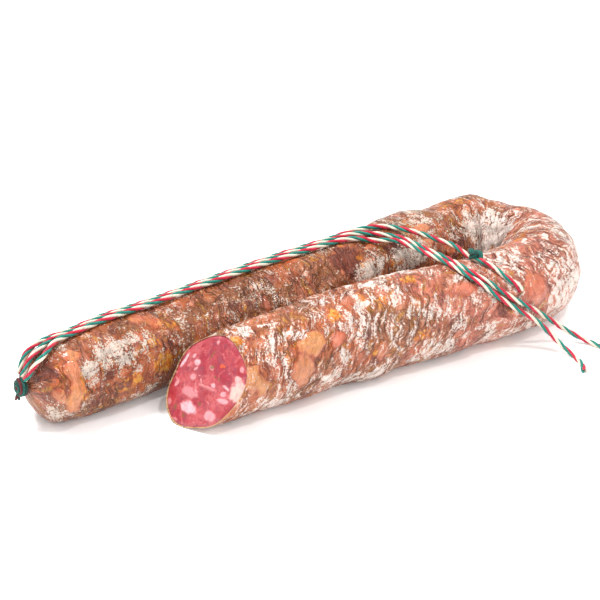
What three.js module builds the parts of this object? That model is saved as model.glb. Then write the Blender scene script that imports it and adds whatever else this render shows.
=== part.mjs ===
// A dry-cured sausage bent double into a horseshoe. One end is gathered and tied off with
// three-coloured twine, and the other is cut across on a slant. Three strands of the twine
// run along the tied leg, cross to the cut leg and end there and on the table.
// Millimetres, +Z up, the table at z = 0. The bend is at +X and the tied leg at +Y.
import * as THREE from "three";

// The sausage's axis, from the tied end round the bend and on past the cut:
// x, y, and the sausage's radius at that place.
const AXIS = [
  [-124.5, 16.9, 15.2],
  [-107, 16.9, 15.3],
  [-87, 16.9, 16.2],
  [-61, 19.0, 16.2],
  [-29, 19.0, 17.0],
  [7, 19.0, 17.8],
  [41, 21.0, 18.0],
  [72, 23.2, 18.2],
  [96, 18.9, 18.0],
  [107, 0.9, 17.8],
  [97, -18.6, 17.4],
  [72, -23.2, 17.4],
  [47, -22.0, 17.8],
  [21, -19.4, 18.4],
  [-9, -18.2, 18.2],
  [-37, -17.5, 17.4],
  [-61, -17.7, 16.8],
  [-99, -18.0, 16.5],
];
const AXIS_LOOKUPS = 800;
const SIT = 0.97; // the axis's height over the table, as a share of the radius
// The gathered end: a narrow nipple for the tie, which swells into a dome.
const NIPPLE = { length: 4.4, radius: 1.8, flare: 0.6, flareLength: 0.8 };
const DOME = { length: 15, fullness: 2.8, sharpness: 0.5, rise: 2.8, riseLength: 6 };
// The cut's plane: its normal's turn from -X and its lean, in degrees, and a point of it.
const CUT = { turn: 16, lean: 30, through: [-62.9, -17.7, 16.4], search: 85, halvings: 40 };

// Stations are millimetres along the axis from the tied end. Clock angles are degrees round it:
// 0 is the horseshoe's outer side, 90 the top, 180 the inner side and 270 the underside.
// Each form has its middle, its half-length along the axis, its half-arc and its height.
const FORMS = [
  { station: 8.5, clock: 238, length: 5, arc: 30, height: 0.8 },
  { station: 10, clock: 176, length: 5, arc: 30, height: 1.2 },
  { station: 17, clock: 164, length: 4.5, arc: 28, height: 1.2 },
  { station: 8.5, clock: 126, length: 5, arc: 28, height: 1 },
  { station: 20, clock: 118, length: 6, arc: 18, height: 0.9 },
  { station: 30, clock: 166, length: 5, arc: 34, height: -1.2 },
  { station: 52, clock: 160, length: 9, arc: 26, height: 1.2 },
  { station: 70, clock: 120, length: 10, arc: 30, height: -0.9 },
  { station: 147, clock: 118, length: 11, arc: 24, height: 1.2 },
  { station: 185, clock: 60, length: 12, arc: 34, height: 1.2 },
  { station: 200, clock: 62, length: 5, arc: 40, height: -1.4 },
  { station: 218, clock: 74, length: 7, arc: 34, height: 1.7 },
  { station: 232, clock: 60, length: 6, arc: 36, height: -1 },
  { station: 262, clock: 70, length: 10, arc: 34, height: 0.9 },
  { station: 285, clock: 24, length: 10, arc: 30, height: 1 },
  { station: 302, clock: -20, length: 7, arc: 34, height: -0.9 },
  { station: 318, clock: 46, length: 9, arc: 20, height: 1.2 },
  { station: 334, clock: 80, length: 9, arc: 26, height: 0.9 },
  { station: 346, clock: -30, length: 6, arc: 34, height: -0.9 },
  { station: 357, clock: -46, length: 9, arc: 26, height: 1.2 },
  { station: 370, clock: -34, length: 7, arc: 30, height: -0.8 },
  { station: 386, clock: 39, length: 7, arc: 19, height: 1.3 },
  { station: 396, clock: 8, length: 6, arc: 22, height: 1.2 },
  { station: 404, clock: 26, length: 5, arc: 30, height: -0.8 },
  { station: 415, clock: 14, length: 7, arc: 26, height: 0.9 },
  { station: 417, clock: 66, length: 14, arc: 34, height: -1.4 },
  { station: 433, clock: 178, length: 13, arc: 36, height: -2.1 },
  { station: 436, clock: 288, length: 10, arc: 22, height: -1.3 },
];
// Long shallow folds of the casing that run slantwise over the top of the cut leg.
const FOLDS = [
  { from: [364, 118], to: [340, 52], width: 1.9, height: 0.7 },
  { from: [352, 96], to: [334, 30], width: 1.7, height: 0.5 },
  { from: [412, 96], to: [388, 66], width: 1.9, height: 0.6 },
  { from: [300, 128], to: [284, 66], width: 2.0, height: 0.6 },
];
const FORM_REACH = 2.45; // how many half-lengths from its middle a form is felt
const FOLD = { reach: 2.6, overrun: 0.2, fade: 0.35, trough: 0.6, troughAt: 1.5 };
// The bend's inner side folds into one deep crease, with smaller ones fanning out round it.
const BEND = { station: 246, reach: 34 };
const CREASE = { depth: 3.4, length: 6.5, clock: 160, arc: 62 };
const PLEATS = { pitch: 8.5, height: 0.42, outerShare: 0.35 };
// The casing's small uneven lumps and dents: each range runs from its least to its most.
const LUMPS = {
  count: 90,
  seed: 11,
  stations: [16, 432],
  lengths: [4, 11],
  arcs: [13, 33],
  heights: [-0.75, 0.85],
};
const DRAW = { factor: 1664525, step: 1013904223, range: 2 ** 32 };

const TWINE = { radius: 1.0, sides: 8, step: 4, gap: 0.5, domeGap: 0.95 };
const TIE = { turns: 2, inner: 2.35, outer: 3.9, start: 0.8, tube: 0.8, ridgePoints: 5, sides: 28 };
const KNOT = { station: 301.5, clock: 94, turn: -83, long: 3.4, wide: 2.2, tall: 2.0 };
const KNOT_WAIST = { depth: 0.16, length: 0.3 };
const KNOT_SEGMENTS = [14, 10];
const COLOURS = { casing: 0xa8674c, twine: 0xc9b9a6, tie: 0x1c7468, knot: 0x1c8a7a };

const ROWS = { dome: [0, 1.2, 2.6, 4.3, 4.5, 4.9, 5.6, 6.8, 8.6, 11, 14.2, 18.2], step: 4.6, cut: 9 };
const SIDES = 34;
const BEFORE_CUT = 44; // how far before the middle of the cut its slant is taken up

const { abs, cos, exp, hypot, max, min, PI, sin } = Math;
const radians = THREE.MathUtils.degToRad;

/** Draws even numbers from 0 to 1 from a seed, always in the same order. */
function drawer(seed) {
  let state = seed;
  return () => {
    state = (Math.imul(state, DRAW.factor) + DRAW.step) >>> 0;
    return state / DRAW.range;
  };
}

/** The casing's lumps and dents, spread at random over its whole length. */
function scatterLumps() {
  const draw = drawer(LUMPS.seed);
  const within = ([least, most]) => least + (most - least) * draw();
  return Array.from({ length: LUMPS.count }, () => ({
    station: within(LUMPS.stations),
    clock: 360 * draw(),
    length: within(LUMPS.lengths),
    arc: within(LUMPS.arcs),
    height: within(LUMPS.heights),
  }));
}

/** The smaller way round from one clock angle to another, in degrees. */
const clockGap = (a, b) => ((((a - b) % 360) + 540) % 360) - 180;

/** A smooth mound that is 1 at its middle and gone two spreads away. */
const mound = (x) => exp(-x * x);

/** The sausage's skin: its axis, its section at each station, its relief and its cut. */
class Skin {
  constructor() {
    this.axis = new THREE.CatmullRomCurve3(AXIS.map(([x, y, r]) => new THREE.Vector3(x, y, r)));
    const flat = this.axis.getPoints(AXIS_LOOKUPS);
    this.points = flat;
    this.stations = [0];
    for (let i = 1; i < flat.length; i++) {
      const run = hypot(flat[i].x - flat[i - 1].x, flat[i].y - flat[i - 1].y);
      this.stations.push(this.stations[i - 1] + run);
    }
    this.length = this.stations.at(-1);
    this.forms = [...FORMS, ...scatterLumps()];
    const [turn, lean] = [radians(CUT.turn), radians(CUT.lean)];
    this.cutNormal = new THREE.Vector3(-cos(turn) * cos(lean), -sin(turn) * cos(lean), sin(lean));
    this.cutPoint = new THREE.Vector3(...CUT.through);
  }

  /** The axis's place, its radius as z, and its direction in plan, at a station. */
  axisAt(station) {
    let low = 0;
    let high = this.stations.length - 1;
    while (high - low > 1) {
      const middle = (low + high) >> 1;
      if (this.stations[middle] > station) high = middle;
      else low = middle;
    }
    const [a, b] = [this.points[low], this.points[high]];
    const share = (station - this.stations[low]) / (this.stations[high] - this.stations[low]);
    const along = new THREE.Vector2(b.x - a.x, b.y - a.y).normalize();
    return { place: a.clone().lerp(b, share), along };
  }

  /** How full the section is: none on the nipple, and 1 past the dome. */
  fullness(station) {
    const share = min(1, max(0, (station - NIPPLE.length) / DOME.length));
    return (1 - (1 - share) ** DOME.fullness) ** DOME.sharpness;
  }

  /** The relief's height at a station and clock angle. */
  relief(station, clock) {
    let height = 0;
    for (const f of this.forms) {
      const x = (station - f.station) / f.length;
      const y = clockGap(clock, f.clock) / f.arc;
      if (hypot(x, y) < FORM_REACH) height += f.height * mound(x) * mound(y);
    }
    for (const fold of FOLDS) height += this.foldHeight(fold, station, clock);
    const bend = mound((station - BEND.station) / BEND.reach);
    const inner = max(0, -cos(radians(clock)));
    const crease = mound((station - BEND.station) / CREASE.length);
    height -= CREASE.depth * crease * mound(clockGap(clock, CREASE.clock) / CREASE.arc);
    const phase = (2 * PI * (station - BEND.station)) / PLEATS.pitch;
    const share = PLEATS.outerShare + (1 - PLEATS.outerShare) * inner;
    return height + PLEATS.height * bend * share * cos(phase);
  }

  /** A fold's height: a rounded ridge along its slanting line, fading at both ends. */
  foldHeight(fold, station, clock) {
    const [s0, c0] = fold.from;
    const [s1, c1] = fold.to;
    const share = clockGap(clock, c0) / clockGap(c1, c0);
    const inside = min(share, 1 - share) + FOLD.overrun;
    const off = (station - (s0 + (s1 - s0) * share)) / fold.width;
    if (inside < 0 || abs(off) > FOLD.reach) return 0;
    const fade = min(1, inside / FOLD.fade);
    return fold.height * fade * (mound(off) - FOLD.trough * mound(off - FOLD.troughAt));
  }

  /** A point at a given distance from the axis. */
  around(station, clock, distance) {
    const { place, along } = this.axisAt(station);
    const angle = radians(clock);
    const lift = DOME.rise * mound(max(0, station - NIPPLE.length) / DOME.riseLength);
    const side = distance * cos(angle);
    const up = distance * sin(angle);
    return new THREE.Vector3(
      place.x - along.y * side,
      place.y + along.x * side,
      place.z * SIT + lift + up,
    );
  }

  /** A point on the skin, or above it by a given lift. */
  on(station, clock, lift = 0) {
    const { place } = this.axisAt(station);
    const fullness = this.fullness(station);
    const flare = NIPPLE.flare * mound(station / NIPPLE.flareLength);
    const bare = NIPPLE.radius + flare + (place.z - NIPPLE.radius) * fullness;
    const distance = bare + this.relief(station, clock) * fullness + lift;
    const point = this.around(station, clock, distance);
    point.z = max(lift, point.z);
    return point;
  }

  /** The station at which the skin's line at one clock angle meets the cut. */
  cutStation(clock) {
    let low = this.length - CUT.search;
    let high = this.length;
    for (let i = 0; i < CUT.halvings; i++) {
      const middle = (low + high) / 2;
      const past = this.on(middle, clock).sub(this.cutPoint).dot(this.cutNormal) > 0;
      if (past) high = middle;
      else low = middle;
    }
    return low;
  }

  /** The whole closed surface, as rings of points from the nipple to the cut. */
  geometry() {
    const clocks = Array.from({ length: SIDES }, (_, j) => (360 * j) / SIDES);
    const ends = clocks.map((clock) => this.cutStation(clock));
    const slant = ends.reduce((a, b) => a + b) / SIDES - BEFORE_CUT;
    const straight = Math.round((slant - ROWS.dome.at(-1)) / ROWS.step);
    const stations = [...ROWS.dome];
    for (let i = 1; i <= straight; i++) {
      stations.push(ROWS.dome.at(-1) + ((slant - ROWS.dome.at(-1)) * i) / straight);
    }
    const rings = stations.map((station) => clocks.map((clock) => this.on(station, clock)));
    for (let i = 1; i <= ROWS.cut; i++) {
      const share = i / ROWS.cut;
      rings.push(clocks.map((clock, j) => this.on(slant + (ends[j] - slant) * share, clock)));
    }
    const rim = rings.at(-1);
    const middle = rim.reduce((sum, p) => sum.add(p), new THREE.Vector3()).divideScalar(SIDES);
    return closedRings(rings, this.around(0, 0, 0), middle);
  }
}

/** Joins rings of points into one closed surface, with a fan from a point at each end. */
function closedRings(rings, first, last) {
  const sides = rings[0].length;
  const points = [first, ...rings.flat(), last];
  const at = (i, j) => 1 + i * sides + (j % sides);
  const faces = [];
  for (let j = 0; j < sides; j++) {
    faces.push(0, at(0, j + 1), at(0, j));
    for (let i = 0; i + 1 < rings.length; i++) {
      faces.push(at(i, j), at(i, j + 1), at(i + 1, j));
      faces.push(at(i + 1, j), at(i, j + 1), at(i + 1, j + 1));
    }
    faces.push(points.length - 1, at(rings.length - 1, j), at(rings.length - 1, j + 1));
  }
  const geometry = new THREE.BufferGeometry().setFromPoints(points);
  geometry.setIndex(faces);
  geometry.computeVertexNormals();
  return geometry;
}

/** A tube of twine along hand-laid points, closed flat at both ends. */
function twineGeometry(points) {
  const path = new THREE.CatmullRomCurve3(points);
  const section = new THREE.Shape(
    Array.from({ length: TWINE.sides }, (_, i) => {
      const angle = (2 * PI * i) / TWINE.sides;
      return new THREE.Vector2(TWINE.radius * cos(angle), TWINE.radius * sin(angle));
    }),
  );
  const steps = Math.round(path.getLength() / TWINE.step);
  return new THREE.ExtrudeGeometry(section, { steps, bevelEnabled: false, extrudePath: path });
}

/** The turns of twine drawn tight round the nipple, as one ridged ring. */
function tieGeometry() {
  const profile = [new THREE.Vector2(TIE.inner, 0)];
  for (let turn = 0; turn < TIE.turns; turn++) {
    for (let k = 0; k < TIE.ridgePoints; k++) {
      const angle = (PI * k) / (TIE.ridgePoints - 1);
      const along = TIE.tube * (2 * turn + 1 - cos(angle));
      profile.push(new THREE.Vector2(TIE.outer - TIE.tube + TIE.tube * sin(angle), along));
    }
  }
  profile.push(new THREE.Vector2(TIE.inner, 2 * TIE.turns * TIE.tube), profile[0].clone());
  return new THREE.LatheGeometry(profile, TIE.sides);
}

/** The overhand knot in the back strand: a rounded lump with a waist. */
function knotGeometry() {
  const geometry = new THREE.SphereGeometry(1, ...KNOT_SEGMENTS);
  const place = geometry.attributes.position;
  for (let i = 0; i < place.count; i++) {
    const waist = 1 - KNOT_WAIST.depth * mound(place.getX(i) / KNOT_WAIST.length);
    place.setY(i, place.getY(i) * waist);
    place.setZ(i, place.getZ(i) * waist);
  }
  return geometry.scale(KNOT.long, KNOT.wide, KNOT.tall);
}

const finish = (color, roughness) => new THREE.MeshStandardMaterial({ color, roughness, metalness: 0 });

function named(name, geometry, material) {
  const mesh = new THREE.Mesh(geometry, material);
  mesh.name = name;
  return mesh;
}

const skin = new Skin();
const lay = TWINE.radius + TWINE.gap;
const on = (station, clock) => skin.on(station, clock, lay);
const onDome = (station, clock) => skin.on(station, clock, TWINE.radius + TWINE.domeGap);
const at = (x, y, z) => new THREE.Vector3(x, y, z);

// Each strand's route, laid by hand: on the skin by station and clock angle, off it in x, y, z.
const ROUTES = {
  twine_back: [
    skin.around(1.9, 77, 5.3),
    skin.around(2.75, 76.6, 6.45),
    skin.around(3.65, 76.3, 8.1),
    skin.around(4.75, 76, 10.2),
    skin.around(6.2, 75.8, 12),
    onDome(8.4, 75.5),
    onDome(12, 74),
    onDome(18, 69),
    on(26, 66),
    on(42, 65),
    on(62, 65),
    on(86, 65),
    on(110, 66),
    on(132, 69),
    on(150, 74),
    on(160, 78),
    on(168, 86),
    on(173.5, 98),
    at(54.6, 10.2, 36.9),
    at(57.8, 4.2, 36.4),
    at(59.7, -2.3, 36.2),
    at(61.2, -9.8, 36.4),
    on(302.3, 105),
  ],
  twine_tail: [on(301, 81), on(299, 68), on(297, 51), on(294.5, 38), on(293, 28)],
  twine_middle: [
    skin.around(1.9, 103, 5.3),
    skin.around(2.75, 101.2, 6.45),
    skin.around(3.65, 99.6, 8.1),
    skin.around(4.75, 97.8, 10.3),
    skin.around(6.2, 96.2, 12.1),
    onDome(8.4, 94),
    onDome(12, 89),
    onDome(18, 79),
    on(26, 75),
    on(42, 74),
    on(62, 73.5),
    on(86, 73.5),
    on(110, 74.5),
    on(132, 78),
    on(148, 81.5),
    on(157, 86),
    on(162.5, 93.5),
    on(166.5, 102),
    at(47.8, 8.0, 36.6),
    at(49.5, 2.4, 36.1),
    at(50.4, -3.2, 35.9),
    at(50.9, -10.0, 36.2),
    on(311.4, 102),
    on(310.8, 80),
    on(308.6, 65),
    on(304.6, 50),
    on(300.6, 35),
    on(296.8, 22),
    on(291.6, 8),
    at(82.4, -45.0, 12.2),
    at(89.4, -47.0, 6.2),
    at(94.4, -50.2, 2.6),
    at(97.2, -55.0, 1.2),
    at(98.4, -60.2, 1.02),
    at(98.9, -65.6, 1.02),
  ],
  twine_front: [
    skin.around(1.9, 129, 5.3),
    skin.around(2.75, 125.6, 6.45),
    skin.around(3.65, 122.4, 8.1),
    skin.around(4.75, 118.8, 10.5),
    skin.around(6.2, 115.4, 12.4),
    onDome(8.4, 111.5),
    onDome(12, 103),
    onDome(18, 89),
    on(26, 83.5),
    on(42, 82.5),
    on(62, 82),
    on(86, 82),
    on(110, 83),
    on(130, 87),
    on(144, 90),
    on(153, 94.5),
    on(158.5, 101.5),
    on(162.5, 110),
    at(45.0, 7.2, 36.4),
    at(46.9, 1.8, 36.0),
    at(47.9, -3.6, 35.8),
    at(48.3, -10.0, 36.1),
    on(314.2, 103),
    on(313.6, 80),
    on(311.6, 64),
    on(307.6, 49),
    on(303.8, 34),
    on(300.0, 21),
    on(296.0, 9),
    at(75.6, -45.8, 13.4),
    at(80.4, -49.2, 7.4),
    at(83.4, -53.8, 2.8),
    at(84.2, -59.0, 1.15),
    at(82.8, -64.8, 1.02),
    at(79.6, -71.0, 1.02),
  ],
};

const sausage = named("sausage", skin.geometry(), finish(COLOURS.casing, 0.6));

const tie = named("end_tie", tieGeometry(), finish(COLOURS.tie, 0.85));
tie.rotation.z = -PI / 2; // the ring's axis lies along X
tie.position.copy(skin.around(TIE.start, 0, 0));

const knot = named("strand_knot", knotGeometry(), finish(COLOURS.knot, 0.85));
knot.position.copy(skin.on(KNOT.station, KNOT.clock, KNOT.tall + TWINE.gap));
knot.rotation.z = radians(KNOT.turn); // it lies across the leg, as the strand does

const strands = Object.entries(ROUTES).map(([name, points]) =>
  named(name, twineGeometry(points), finish(COLOURS.twine, 0.85)),
);

const part = new THREE.Group();
part.add(sausage, tie, knot, ...strands);

export default part;
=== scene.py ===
"""A dry-cured sausage bent double into a horseshoe, tied at one end and cut at the other.

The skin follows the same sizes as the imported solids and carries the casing's finer relief,
the fat and lean that show through it, and the mould on it. Three strands of three-ply twine
run along the tied leg and over the cut leg. Sizes are millimetres until a mesh is built.
"""

import logging
from dataclasses import dataclass, field
from enum import Enum
from typing import Any, Sequence

import bpy
import numpy as np
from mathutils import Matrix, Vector


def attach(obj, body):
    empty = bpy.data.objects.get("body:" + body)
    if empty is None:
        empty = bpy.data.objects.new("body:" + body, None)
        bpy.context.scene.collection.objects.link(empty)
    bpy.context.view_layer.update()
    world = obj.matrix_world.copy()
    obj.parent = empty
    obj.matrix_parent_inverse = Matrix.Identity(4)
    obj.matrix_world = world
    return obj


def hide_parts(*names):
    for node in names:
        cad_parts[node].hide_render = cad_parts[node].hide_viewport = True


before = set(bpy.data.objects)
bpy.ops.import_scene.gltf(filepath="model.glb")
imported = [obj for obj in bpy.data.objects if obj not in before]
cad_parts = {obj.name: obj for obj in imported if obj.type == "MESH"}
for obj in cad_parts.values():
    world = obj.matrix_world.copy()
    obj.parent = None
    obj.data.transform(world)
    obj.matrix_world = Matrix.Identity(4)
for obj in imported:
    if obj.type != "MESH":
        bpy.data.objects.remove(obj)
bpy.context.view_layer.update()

LOG = logging.getLogger("cured_sausage")
MM = 0.001
BODY = "root"
Array = np.ndarray
Number = float | int
Pair = tuple[float, float]
Place = tuple[float, float, float]
Material = bpy.types.Material
Piece = bpy.types.Object


def linear(code: str) -> tuple[float, float, float, float]:
    """Turns a colour's usual web code into the linear values that shaders take.

    Args:
        code: six hexadecimal digits, two each for red, green and blue.

    Returns:
        Linear red, green, blue and an alpha of 1.
    """
    parts = [int(code[i : i + 2], 16) / 255 for i in (0, 2, 4)]
    red, green, blue = (p / 12.92 if p <= 0.04045 else ((p + 0.055) / 1.055) ** 2.4 for p in parts)
    return red, green, blue, 1.0


def smooth(low: float, high: float, value: Array) -> Array:
    """A soft step of a value from 0 at low to 1 at high. High may be the smaller."""
    share = np.clip((value - low) / (high - low), 0.0, 1.0)
    return share * share * (3.0 - 2.0 * share)


def mound(value: Array) -> Array:
    """A smooth mound that is 1 at its middle and gone two spreads away."""
    return np.exp(-value * value)


def clock_gap(a: Array, b: Array) -> Array:
    """The smaller way round from one clock angle to another, in degrees."""
    return (a - b + 180.0) % 360.0 - 180.0


def walk(runs: Array) -> Array:
    """How far along a line its points are, from the runs between them."""
    return np.concatenate([[0.0], np.cumsum(runs)])


def unit(vectors: Array) -> Array:
    """Vectors brought to a length of 1."""
    return vectors / np.linalg.norm(vectors, axis=-1, keepdims=True)


def spline(points: Array, per_span: int) -> Array:
    """A centripetal Catmull-Rom curve through points.

    Args:
        points: one row for each point.
        per_span: how many rows it gives for each stretch between two points.

    Returns:
        The curve's points, with the last given point as the last row.
    """
    ends = (2 * points[0] - points[1], 2 * points[-1] - points[-2])
    p = np.vstack([ends[0], points, ends[1]])
    gaps = np.sqrt(np.linalg.norm(np.diff(p, axis=0), axis=1))
    share = np.linspace(0.0, 1.0, per_span, endpoint=False)[:, None]
    rows = []
    for i in range(1, len(p) - 2):
        d0, d1, d2 = gaps[i - 1 : i + 2]
        step = p[i + 1] - p[i]
        out = ((p[i] - p[i - 1]) / d0 - (p[i + 1] - p[i - 1]) / (d0 + d1) + step / d1) * d1
        back = (step / d1 - (p[i + 2] - p[i]) / (d1 + d2) + (p[i + 2] - p[i + 1]) / d2) * d1
        square = (3 * step - 2 * out - back) * share**2
        cube = (out + back - 2 * step) * share**3
        rows.append(p[i] + out * share + square + cube)
    rows.append(points[-1][None])
    return np.vstack(rows)


class Drawer:
    """Draws even numbers from a seed, always in the same order."""

    FACTOR = 1664525
    ADDED = 1013904223
    WHOLE = 2**32

    def __init__(self, seed: int) -> None:
        """Args:
        seed: any whole number.
        """
        self.state = seed

    def row(self, ranges: Sequence[Pair]) -> list[float]:
        """Draws one number from each range.

        Args:
            ranges: the lowest and highest value of each number.

        Returns:
            The numbers, in the order of the ranges.
        """
        drawn = []
        for low, high in ranges:
            self.state = (self.state * self.FACTOR + self.ADDED) % self.WHOLE
            drawn.append(low + (high - low) * self.state / self.WHOLE)
        return drawn


class Grain:
    """Seeded smooth noise over points in space, from about -1 to 1."""

    CELLS = 256
    GAIN = 1.6

    def __init__(self, seed: int) -> None:
        """Args:
        seed: gives the noise its own pattern.
        """
        draw = np.random.default_rng(seed)
        self.order = draw.permutation(self.CELLS)
        self.slopes = unit(draw.normal(size=(self.CELLS, 3)))

    def at(self, points: Array, size: float | Sequence[float], octaves: int = 1) -> Array:
        """The noise at each point.

        Args:
            points: one row for each point.
            size: how large a lump is, for all axes or one for each.
            octaves: how many times a finer, fainter copy is added.

        Returns:
            One value for each point.
        """
        total = np.zeros(len(points))
        for octave in range(octaves):
            total += self._single(points / np.asarray(size) * 2.0**octave) * 0.5**octave
        return total * self.GAIN

    def _single(self, points: Array) -> Array:
        """One octave of the noise, on points measured in lumps.

        Args:
            points: one row for each point, in lumps.

        Returns:
            One value for each point.
        """
        cell = np.floor(points).astype(int)
        part = points - cell
        fade = part**3 * (part * (part * 6.0 - 15.0) + 10.0)
        total = np.zeros(len(points))
        for corner in range(8):
            offset = np.array([corner & 1, corner >> 1 & 1, corner >> 2])
            x, y, z = ((cell + offset) % self.CELLS).T
            place = self.order[(self.order[(self.order[x] + y) % self.CELLS] + z) % self.CELLS]
            slope = np.einsum("ij,ij->i", self.slopes[place], part - offset)
            total += slope * np.prod(np.where(offset, fade, 1.0 - fade), axis=1)
        return total


@dataclass(frozen=True)
class Lumps:
    """Noise of one height and size, taken from its own place in the grain."""

    height: float
    size: float | Place
    octaves: int = 2
    shift: float = 0.0

    def over(self, grain: Grain, points: Array) -> Array:
        """The noise's height at each point."""
        return self.height * grain.at(points + self.shift, self.size, self.octaves)


@dataclass(frozen=True)
class Spot:
    """A place on the skin: its middle, half-length and half-arc."""

    station: float
    clock: float
    length: float
    arc: float

    def off(self, station: Array, clock: Array) -> tuple[Array, Array]:
        """How far points are from the middle, along and round, in half-sizes."""
        return (station - self.station) / self.length, clock_gap(clock, self.clock) / self.arc


@dataclass(frozen=True)
class Form(Spot):
    """A lump or dent of the skin, with its height."""

    height: float


@dataclass(frozen=True)
class Fold:
    """A long shallow fold of the casing, from one station and clock angle to another."""

    start: Pair
    end: Pair
    width: float
    height: float


FORMS = tuple(
    Form(*row)
    for row in (
        (8.5, 238, 5, 30, 0.8), (10, 176, 5, 30, 1.2), (17, 164, 4.5, 28, 1.2), (8.5, 126, 5, 28, 1),
        (20, 118, 6, 18, 0.9), (30, 166, 5, 34, -1.2), (52, 160, 9, 26, 1.2), (70, 120, 10, 30, -0.9),
        (147, 118, 11, 24, 1.2), (185, 60, 12, 34, 1.2), (200, 62, 5, 40, -1.4), (218, 74, 7, 34, 1.7),
        (232, 60, 6, 36, -1), (262, 70, 10, 34, 0.9), (285, 24, 10, 30, 1), (302, -20, 7, 34, -0.9),
        (318, 46, 9, 20, 1.2), (334, 80, 9, 26, 0.9), (346, -30, 6, 34, -0.9), (357, -46, 9, 26, 1.2),
        (370, -34, 7, 30, -0.8), (386, 39, 7, 19, 1.3), (396, 8, 6, 22, 1.2), (404, 26, 5, 30, -0.8),
        (415, 14, 7, 26, 0.9), (417, 66, 14, 34, -1.4), (433, 178, 13, 36, -2.1),
        (436, 288, 10, 22, -1.3),
    )
)
FOLDS = (
    Fold((364, 118), (340, 52), 1.9, 0.7),
    Fold((352, 96), (334, 30), 1.7, 0.5),
    Fold((412, 96), (388, 66), 1.9, 0.6),
    Fold((300, 128), (284, 66), 2.0, 0.6),
)


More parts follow.
